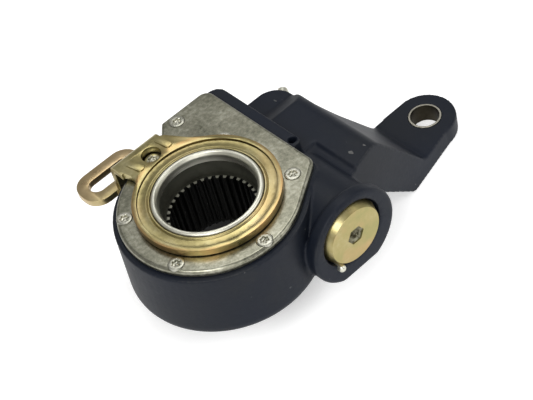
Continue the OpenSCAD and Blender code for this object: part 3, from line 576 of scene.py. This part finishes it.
def close_recess(mesh):
    """Draws the wall around the end cap in, until only a thin gap is left."""
    points = mesh_points(mesh)
    axis = middle("end_cap")
    across = points[:, 0] - axis.x
    up = points[:, 2] - axis.z
    reach = np.hypot(across, up)
    wall = (reach > RECESS_R - RECESS_INNER) & (points[:, 1] < CAP_FRONT + RECESS_DEPTH)
    share = np.clip((RECESS_R + RECESS_OUTER - reach) / RECESS_FADE, 0, 1) * wall
    scale = 1 - share * RECESS_DRAW / np.maximum(reach, MM)
    points[:, 0] = axis.x + across * scale
    points[:, 2] = axis.z + up * scale
    mesh.vertices.foreach_set("co", points.ravel())
    mesh.update()


def casting():
    """The housing with the soft edges of a casting, and its edges marked for wear and for a painted
    highlight.
    """
    obj = placed("housing_casting", joined_skin("housing", "housing_casting"))
    remesh = obj.modifiers.new("skin", "REMESH")
    remesh.mode = "VOXEL"
    remesh.voxel_size = CAST_VOXEL
    settle(obj)
    before = mesh_points(obj.data)
    group = obj.vertex_groups.new(name="cast skin")
    group.add(np.nonzero(machined(before) > 0)[0].tolist(), 1.0, "REPLACE")
    smooth = obj.modifiers.new("soft edges", "SMOOTH")
    smooth.factor = CAST_SOFTNESS
    smooth.iterations = CAST_SMOOTHING
    smooth.vertex_group = "cast skin"
    settle(obj)
    normals = np.empty(len(obj.data.vertices) * 3)
    obj.data.vertices.foreach_get("normal", normals)
    sunk = np.einsum("ij,ij->i", before - mesh_points(obj.data), normals.reshape(-1, 3))
    # The sunk edges carry both the paint's wear and its painted highlight
    edge_mark = obj.data.attributes.new("worn_edge", "FLOAT", "POINT")
    edge_mark.data.foreach_set("value", np.clip(sunk / EDGE_MARK_SINK, 0, 1).astype(np.float32))
    close_recess(obj.data)
    triangles = sum(len(p.vertices) - 2 for p in obj.data.polygons)
    if triangles > CAST_TRIANGLES:
        thin = obj.modifiers.new("fewer faces", "DECIMATE")
        thin.ratio = CAST_TRIANGLES / triangles
        settle(obj)
    obj.vertex_groups.clear()
    shade(obj, CAST_CREASE_DEG)
    wear(obj, paint)
    stand_for(obj, "housing")


casting()


# Cover screws

SCREW_LOBES = 6
SCREW_SIDES = 48
SCREW_SEED = 7
# Each ring of a screw is its radius, the depth of its lobes and its height over the CAD head's top
SCREW_RINGS = [(radius * MM, lobe * MM, height * MM) for radius, lobe, height in (
    (1.7, 0, -9.2), (2.2, 0, -8.7), (2.2, 0, -1.6), (3.6, 0, -1.6), (3.6, 0, -0.12),
    (3.52, 0, 0.1), (3.3, 0, 0.22), (2.7, 0, 0.28), (1.98, 0.3, 0.26), (1.8, 0.3, 0.1),
    (1.72, 0.3, -0.8), (0.9, 0.1, -0.95), (0.3, 0, -0.6))]
# Inputs of the screws' node tree, and the kind of each
SCREW_INPUTS = {"Points": "Geometry", "Screw": "Object", "Largest turn": "Float", "Seed": "Int",
                "Finish": "Material"}


def lobed_turning(name, rings, lobes, sides):
    """A closed turned shape whose rings may have lobes."""
    turns = [2 * math.pi * i / sides for i in range(sides)]
    loops = []
    for radius, lobe, height in rings:
        reach = [radius + lobe * math.cos(lobes * a) for a in turns]
        loops.append([(r * math.cos(a), r * math.sin(a), height) for r, a in zip(reach, turns)])
    return closed_loft(loops, name)


def islands(node):
    """The separate solids of a node, each as the list of its points."""
    bm = merged(node)
    left = set(bm.verts)
    found = []
    while left:
        queue = [left.pop()]
        solid = []
        while queue:
            vert = queue.pop()
            solid.append(vert.co.copy())
            near = {edge.other_vert(vert) for edge in vert.link_edges} & left
            left -= near
            queue.extend(near)
        found.append(solid)
    bm.free()
    return found


def head_top(solid):
    """Middle of a screw's head, level with its top."""
    xs = [p.x for p in solid]
    ys = [p.y for p in solid]
    return Vector(((min(xs) + max(xs)) / 2, (min(ys) + max(ys)) / 2, max(p.z for p in solid)))


def screw_heads():
    """Middles of the tops of the cover's screws, in order of place, so that each run is alike."""
    return sorted((head_top(solid) for solid in islands("cover_screws")), key=tuple)


def screw_tree():
    """Geometry Nodes that stand a screw on every point, each turned by its own seeded angle."""
    tree = bpy.data.node_groups.new("screws on points", "GeometryNodeTree")
    for name, kind in SCREW_INPUTS.items():
        tree.interface.new_socket(name, in_out="INPUT", socket_type="NodeSocket" + kind)
    tree.interface.new_socket("Screws", in_out="OUTPUT", socket_type="NodeSocketGeometry")
    nodes = Nodes(tree, tree.nodes.new("NodeGroupOutput"))
    given = {name: nodes.make("NodeGroupInput", {}, {}, name) for name in SCREW_INPUTS}
    screw = nodes.make("GeometryNodeObjectInfo", {}, {"Object": given["Screw"]}, "Geometry")
    # The random node's plain number has its largest value in socket 3 and comes out of socket 1
    turn = nodes.make("FunctionNodeRandomValue", {"data_type": "FLOAT"},
                      {3: given["Largest turn"], "Seed": given["Seed"]}, 1)
    upright = nodes.make("ShaderNodeCombineXYZ", {}, {"Z": turn}, "Vector")
    stood = nodes.make("GeometryNodeInstanceOnPoints", {},
                       {"Points": given["Points"], "Instance": screw, "Rotation": upright}, "Instances")
    real = nodes.make("GeometryNodeRealizeInstances", {}, {"Geometry": stood}, "Geometry")
    plated = nodes.make("GeometryNodeSetMaterial", {},
                        {"Geometry": real, "Material": given["Finish"]}, "Geometry")
    nodes.feed("Screws", plated)
    return tree


def cover_screws():
    """The screws of the cover plate, one on each of the CAD screws."""
    one = placed("one_screw", lobed_turning("one_screw", SCREW_RINGS, SCREW_LOBES, SCREW_SIDES))
    points = bpy.data.meshes.new("cover_screws_finished")
    points.from_pydata(screw_heads(), [], [])
    obj = placed("cover_screws_finished", points)
    tree = screw_tree()
    screws = obj.modifiers.new("screws", "NODES")
    screws.node_group = tree
    given = {"Screw": one, "Largest turn": 2 * math.pi / SCREW_LOBES, "Seed": SCREW_SEED,
             "Finish": screw_finish.material}
    for socket in tree.interface.items_tree:
        if socket.in_out == "INPUT" and socket.name in given:
            screws[socket.identifier] = given[socket.name]
    settle(obj)
    bpy.data.objects.remove(one)
    shade(obj)
    wear(obj, screw_finish)
    stand_for(obj, "cover_screws")


cover_screws()


# Cover plate

# Radius of the rolled edge, and the steps that it is made in
PLATE_ROLL = 1.6 * MM
ROLL_STEPS = 5
# The plate's outline is made of edges at least this sharp, this near to its lower face
OUTLINE_DEG = 40
OUTLINE_RISE = 0.01 * MM
# Gap between a screw's head and its hole
HEAD_GAP = 0.12 * MM
DRILL_LENGTH = 20 * MM
# A screw's hole in the plate's lower face is within this of its screw
SCREW_REACH = 3 * MM


def plate_outline(bm, screws):
    """Points of the plate's outline in order, counter-clockwise, from its lower face."""
    low = min(v.co.z for v in bm.verts)
    bore = HUB_R + SCREW_REACH
    beside = {}
    for edge in bm.edges:
        ends = edge.verts
        centre = ((ends[0].co + ends[1].co) / 2).xy
        if max(v.co.z for v in ends) > low + OUTLINE_RISE:
            continue
        if edge.calc_face_angle(0) < math.radians(OUTLINE_DEG):
            continue
        if centre.length > bore and min((centre - screw).length for screw in screws) > SCREW_REACH:
            beside.setdefault(ends[0], []).append(ends[1])
            beside.setdefault(ends[1], []).append(ends[0])
    here = next(iter(beside))
    walk = [here]
    ahead = beside[here][0]
    while ahead != walk[0]:
        walk.append(ahead)
        ahead = [v for v in beside[ahead] if v != walk[-2]][0]
    points = [v.co.xy for v in walk]
    area = sum(a.cross(b) for a, b in zip(points, points[1:] + points[:1]))
    return points if area > 0 else points[::-1]


def outward(points):
    """For each corner of an outline, the way out that moves both its sides by one."""
    sides = []
    for a, b in zip(points, points[1:] + points[:1]):
        along = (b - a).normalized()
        sides.append(Vector((along.y, -along.x)))
    return [(a + b) / (1 + a.dot(b)) for a, b in zip(sides[-1:] + sides[:-1], sides)]


def rolled_slab(points, low, top):
    """A flat slab with this outline, its upper edge rolled over."""
    levels = [(0, low)]
    for step in range(ROLL_STEPS + 1):
        turn = math.radians(90 / ROLL_STEPS * step)
        levels.append((PLATE_ROLL * (1 - math.cos(turn)), top - PLATE_ROLL * (1 - math.sin(turn))))
    corners = list(zip(points, outward(points)))
    loops = [[(*(point - way * inset), z) for point, way in corners] for inset, z in levels]
    return closed_loft(loops, "cover_plate_finished")


def cover_plate():
    """The cover plate, its outline rolled over, with the bore and the holes of the screws cut through."""
    bm = merged("cover_plate")
    low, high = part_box("cover_plate")
    screws = [head.xy for head in screw_heads()]
    obj = placed("cover_plate_finished", rolled_slab(plate_outline(bm, screws), low[2], high[2]))
    bore = min(v.co.xy.length for v in bm.verts)
    head = max(radius for radius, lobe, height in SCREW_RINGS) + HEAD_GAP
    bm.free()
    drills = bmesh.new()
    for centre, radius in [(Vector((0, 0)), bore)] + [(screw, head) for screw in screws]:
        bmesh.ops.create_cone(drills, cap_ends=True, segments=ROUND_SIDES, radius1=radius, radius2=radius,
                              depth=DRILL_LENGTH, matrix=Matrix.Translation((centre.x, centre.y, 0)))
    cut_by(obj, placed("drills", kept(drills, "drills")), "DIFFERENCE")
    shade(obj)
    level_faces(obj)
    wear(obj, zinc)
    stand_for(obj, "cover_plate")


cover_plate()


# End cap

# The cone around the cap's face: its radius and how far it lies behind the face
CAP_CONE = [(radius * MM, 0, behind * MM) for radius, behind in ((13.61, -0.2), (15.7, 4.3), (15.7, 40))]
# Points that the cut leaves nearer than the first of these are one point, and slivers under the second go
CAP_WELD = 0.08 * MM
CAP_SLIVER = 0.005 * MM


def coned_cap():
    """The end cap's mesh, cut to a wide cone around its face."""
    obj = placed("end_cap_cut", kept(merged("end_cap"), "end_cap_cut"))
    axis = middle("end_cap")
    lathe = placed("lathe", lobed_turning("lathe", CAP_CONE, 0, ROUND_SIDES))
    lathe.data.transform(Matrix.Rotation(math.radians(-90), 4, "X"))
    lathe.data.transform(Matrix.Translation((axis.x, CAP_FRONT, axis.z)))
    cut_by(obj, lathe, "INTERSECT")
    bm = bmesh.new()
    bm.from_mesh(obj.data)
    bpy.data.objects.remove(obj)
    bmesh.ops.remove_doubles(bm, verts=bm.verts, dist=CAP_WELD)
    bmesh.ops.dissolve_degenerate(bm, edges=bm.edges, dist=CAP_SLIVER)
    bmesh.ops.dissolve_limit(bm, angle_limit=FLAT, verts=bm.verts, edges=bm.edges)
    return kept(bm, "end_cap_finished")


# Rack spring

COIL_CREASE_DEG = 60


def rack_spring():
    """The rack's return spring, as a plain copy of its CAD mesh."""
    obj = placed("rack_spring_finished", kept(merged("rack_spring"), "rack_spring_finished"))
    shade(obj, COIL_CREASE_DEG)
    wear(obj, oiled)
    stand_for(obj, "rack_spring")
    low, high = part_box("rack_spring")
    slide = [joint for joint in RECORD["behaviour"]["joints"] if joint["name"] == "rack_slide"][0]
    left = 1 - abs(slide["range_m"][0]) / (high[0] - low[0])
    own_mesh(obj)


rack_spring()


# Pieces with broken edges, each with the width of its edge, where 0 leaves it sharp

finished("control_arm", gold, 0.7 * MM, segments=3, pressed=True)
finished("control_hub", gold, 0.2 * MM)
finished("bore_rim", steel, 0.1 * MM)
finished("end_cap", cap_gold, 0.25 * MM, mesh=coned_cap())
finished("lock_pin", steel, 0.2 * MM)
finished("clevis_bush", bush, 0.25 * MM)
finished("grease_nipple", steel, 0.12 * MM)
finished("worm_wheel", spline, 0)
finished("worm_shaft", oiled, 0)
finished("cover_gasket", rubber, 0)


# Pieces that keep their CAD mesh

for node, finish in {
    "nipple_ball": steel, "cap_o_ring": rubber, "strong_spring": oiled, "spring_seat": steel,
    "thrust_bearing": steel, "clutch_wheel": steel, "clutch_spring": oiled, "pinion": steel,
    "pinion_washer": steel, "shaft_seal": rubber, "rack": steel,
    "upper_wheel_seal": rubber, "lower_wheel_seal": rubber, "control_disc": steel,
}.items():
    wear(NODES[node], finish)


# Studio

# The photograph's width and focal length in pixels, and the width of the camera's sensor in millimetres
PHOTO_W = 533
FOCAL_PX = 1400
SENSOR = 36
CAMERA_AT = Vector((-190.0, -369.1, 430.1)) * MM
CAMERA_RIGHT = Vector((0.7254, -0.6616, -0.1898))
CAMERA_DOWN = Vector((-0.5945, -0.4634, -0.6571))
LAMP_AIM = Vector((30, 0, -20)) * MM
# The floor's distance below the object, its half width, and its own light as the camera sees it
FLOOR_DROP = 0.4 * MM
FLOOR_REACH = 3.0
FLOOR_GLOW = 0.55
# Middle of the shade under the body, and of the painted shade, a dark floor colour, in the part of it that
# the bore shows, and where each fades out
UNDER_BODY = Vector((12, 22, 0)) * MM
UNDER_BODY_FADE = (26 * MM, 58 * MM)
PAINTED_BORE_SHADE = Vector((19.5, 38.4, 0)) * MM
PAINTED_BORE_SHADE_FADE = (12 * MM, 38 * MM)


def camera():
    """The photograph's camera."""
    data = bpy.data.cameras.new("camera")
    data.sensor_width = SENSOR
    data.lens = FOCAL_PX * SENSOR / PHOTO_W
    obj = bpy.data.objects.new("camera", data)
    right = CAMERA_RIGHT.normalized()
    back = right.cross(-CAMERA_DOWN).normalized()
    up = back.cross(right)
    obj.matrix_world = Matrix.Translation(CAMERA_AT) @ Matrix((right, up, back)).transposed().to_4x4()
    bpy.context.scene.collection.objects.link(obj)
    bpy.context.scene.camera = obj


def soft_lamp(name, at, size, power):
    """A square lamp aimed at the middle of the object."""
    data = bpy.data.lights.new(name, "AREA")
    data.size = size
    data.energy = power
    obj = bpy.data.objects.new(name, data)
    aim = LAMP_AIM - Vector(at)
    obj.matrix_world = Matrix.Translation(at) @ aim.to_track_quat("-Z", "Y").to_matrix().to_4x4()
    bpy.context.scene.collection.objects.link(obj)


def floor():
    """A wide pale floor just under the object, white to the camera apart from a soft shadow, with painted
    shade in its own colour where the bore shows it.
    """
    low = cad_low[2] - FLOOR_DROP
    corners = [(x * FLOOR_REACH, y * FLOOR_REACH, low) for x, y in ((-1, -1), (1, -1), (1, 1), (-1, 1))]
    mesh = bpy.data.meshes.new("floor")
    mesh.from_pydata(corners, [], [(0, 1, 2, 3)])
    obj = placed("floor", mesh)
    f = Finish("floor", Roughness=0.9, Emission_Strength=1)
    seen = f.ray("Is Camera Ray") + 0.5 * f.ray("Is Glossy Ray") + f.ray("Is Transmission Ray")
    open_floor = f.rise(f.away(UNDER_BODY), *UNDER_BODY_FADE)
    # Painted shade: the floor's colour is dark below the bore, so the bore looks dark
    shown = f.rise(f.away(PAINTED_BORE_SHADE), *PAINTED_BORE_SHADE_FADE)
    f.feed("Base Color", f.blend(shown, (0.1, 0.1, 0.1), (0.85, 0.85, 0.85)))
    f.feed("Emission Color", f.blend(seen * open_floor * FLOOR_GLOW, (0, 0, 0), (1, 1, 1)))
    wear(obj, f)


def studio_world():
    """White to the camera; for light and reflections, a soft grey room, brighter low down and overhead."""
    world = bpy.data.worlds.new("studio")
    bpy.context.scene.world = world
    world.use_nodes = True
    tree = world.node_tree
    tree.nodes.remove(tree.nodes["Background"])
    nodes = Nodes(tree, tree.nodes["World Output"])
    way = nodes.make("ShaderNodeTexCoord", {}, {}, "Generated")
    height = nodes.make("ShaderNodeSeparateXYZ", {}, {"Vector": way}, "Z")
    greys = nodes.steps(height, (0.0, (0.5, 0.5, 0.49)), (0.3, (0.40, 0.40, 0.39)),
                        (0.75, (0.30, 0.30, 0.30)), (1.0, (0.55, 0.55, 0.55)))
    room = nodes.make("ShaderNodeBackground", {}, {"Color": greys})
    white = nodes.make("ShaderNodeBackground", {}, {"Color": (1, 1, 1, 1)})
    choice = {"Fac": nodes.ray("Is Camera Ray"), 1: room, 2: white}
    nodes.feed("Surface", nodes.make("ShaderNodeMixShader", {}, choice))


camera()
# Each lamp has its place, its size and its power
soft_lamp("key lamp", (-0.55, -0.30, 0.75), 0.5, 3.8)
soft_lamp("front lamp", (-0.42, -0.78, 0.40), 0.7, 2.1)
soft_lamp("fill lamp", (0.60, -0.50, 0.45), 0.6, 2)
soft_lamp("back lamp", (0.26, 0.26, 0.70), 0.35, 1.35)
floor()
studio_world()
bpy.context.scene.view_settings.view_transform = "Standard"
